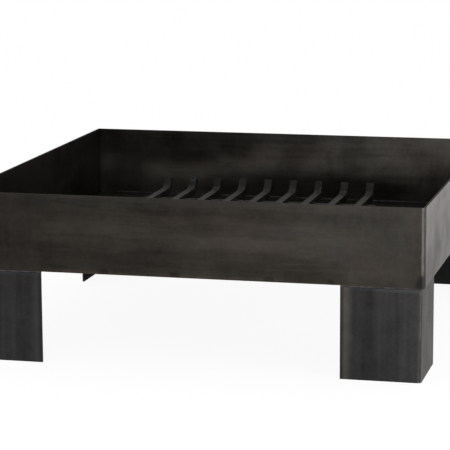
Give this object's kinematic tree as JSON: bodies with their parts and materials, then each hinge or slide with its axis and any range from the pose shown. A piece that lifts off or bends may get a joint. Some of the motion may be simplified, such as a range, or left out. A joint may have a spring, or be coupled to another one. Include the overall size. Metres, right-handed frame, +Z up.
{
  "type": "fire pit with grate",
  "caption": "Low square fire pit: an open tray of welded sheet steel on folded angle legs, with a loose log grate of bent bars that lifts out.",
  "frame": {"origin": "on the ground, under the middle of the square tray", "axes": "+Z up through the open top of the tray; the front wall faces -Y and the right wall faces +X"},
  "size_m": [0.7, 0.7, 0.257],
  "materials": {
    "tray_steel": "raw hot-rolled sheet with brown-grey mill scale, satin",
    "leg_steel": "raw hot-rolled sheet with neutral dark grey mill scale, satin",
    "weld_steel": "ground or as-laid weld metal, brighter than the sheet, with heat tint beside it",
    "grate_steel": "dark mill scale on square bar and thick plate, dull satin"
  },
  "bodies": {
    "pit": {"floor_plate": "tray_steel", "front_wall": "tray_steel", "back_wall": "tray_steel", "left_wall": "tray_steel", "right_wall": "tray_steel", "seam_weld_front": "weld_steel", "seam_weld_back": "weld_steel", "seam_weld_left": "weld_steel", "seam_weld_right": "weld_steel", "corner_weld_front_left": "weld_steel", "corner_weld_front_right": "weld_steel", "corner_weld_back_left": "weld_steel", "corner_weld_back_right": "weld_steel", "leg_front_left": "leg_steel", "leg_front_right": "leg_steel", "leg_back_left": "leg_steel", "leg_back_right": "leg_steel", "leg_weld_front_left": "weld_steel", "leg_weld_front_right": "weld_steel", "leg_weld_back_left": "weld_steel", "leg_weld_back_right": "weld_steel"},
    "grate": {"grate_rail_front": "grate_steel", "grate_rail_back": "grate_steel", "grate_bar_1": "grate_steel", "grate_bar_2": "grate_steel", "grate_bar_3": "grate_steel", "grate_bar_4": "grate_steel", "grate_bar_5": "grate_steel", "grate_bar_6": "grate_steel", "grate_bar_7": "grate_steel", "grate_bar_8": "grate_steel", "grate_bar_9": "grate_steel"}
  },
  "joints": [
    {"name": "grate_lift", "type": "slide", "parent": "pit", "child": "grate", "axis": [0, 0, 1], "range_m": [0, 0.15]}
  ]
}
